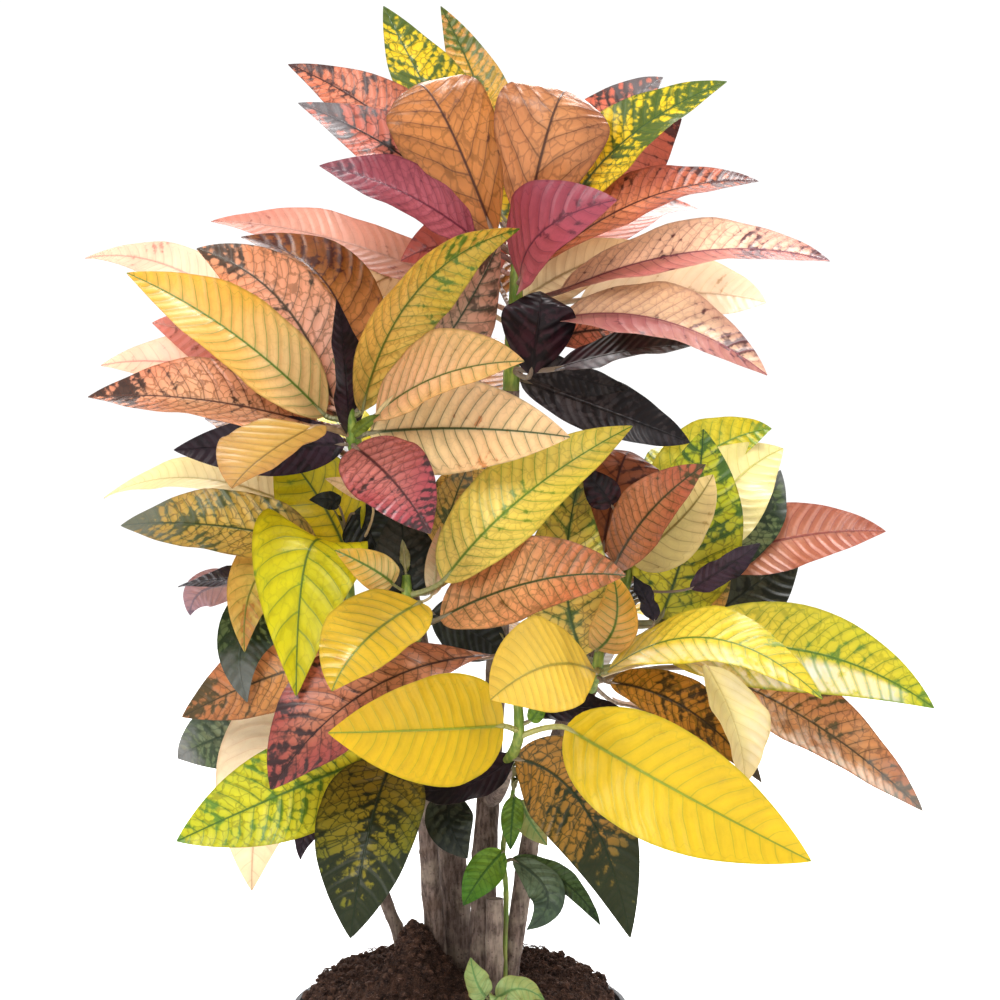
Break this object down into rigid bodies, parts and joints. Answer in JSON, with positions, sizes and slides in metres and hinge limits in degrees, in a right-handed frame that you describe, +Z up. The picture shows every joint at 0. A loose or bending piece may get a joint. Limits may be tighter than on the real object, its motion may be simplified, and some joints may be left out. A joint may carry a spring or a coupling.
{
  "type": "potted croton",
  "caption": "Croton plant with yellow, orange, pink and dark mottled leaves on woody stems, in a plain grower's pot with a mound of soil.",
  "frame": {"origin": "centre of the pot's underside", "axes": "+Z up along the pot's axis; the plant's shown side faces -Y"},
  "size_m": [0.5842, 0.508, 0.9004],
  "materials": {
    "pot_plastic": "matte",
    "soil": "loose peat",
    "bark": "rough bark",
    "leaf_rose": "glossy leaf",
    "leaf_orange": "glossy leaf",
    "leaf_gold": "glossy leaf",
    "leaf_lime": "glossy leaf",
    "leaf_green": "glossy leaf"
  },
  "bodies": {
    "root": {"pot": "pot_plastic", "soil": "soil", "stem_left": "bark", "stem_middle": "bark", "stem_main": "bark", "stem_right": "bark", "stem_slim": "bark", "stem_cut": "bark", "head_top": "leaf_rose", "head_left": "leaf_orange", "head_middle": "leaf_orange", "head_lower_left": "leaf_lime", "head_low": "leaf_green", "head_right": "leaf_lime", "head_lower_right": "leaf_gold", "head_front": "leaf_gold", "head_back_left": "leaf_orange", "head_back_right": "leaf_lime", "shoot_small": "leaf_green", "seedling": "leaf_green"}
  },
  "joints": []
}
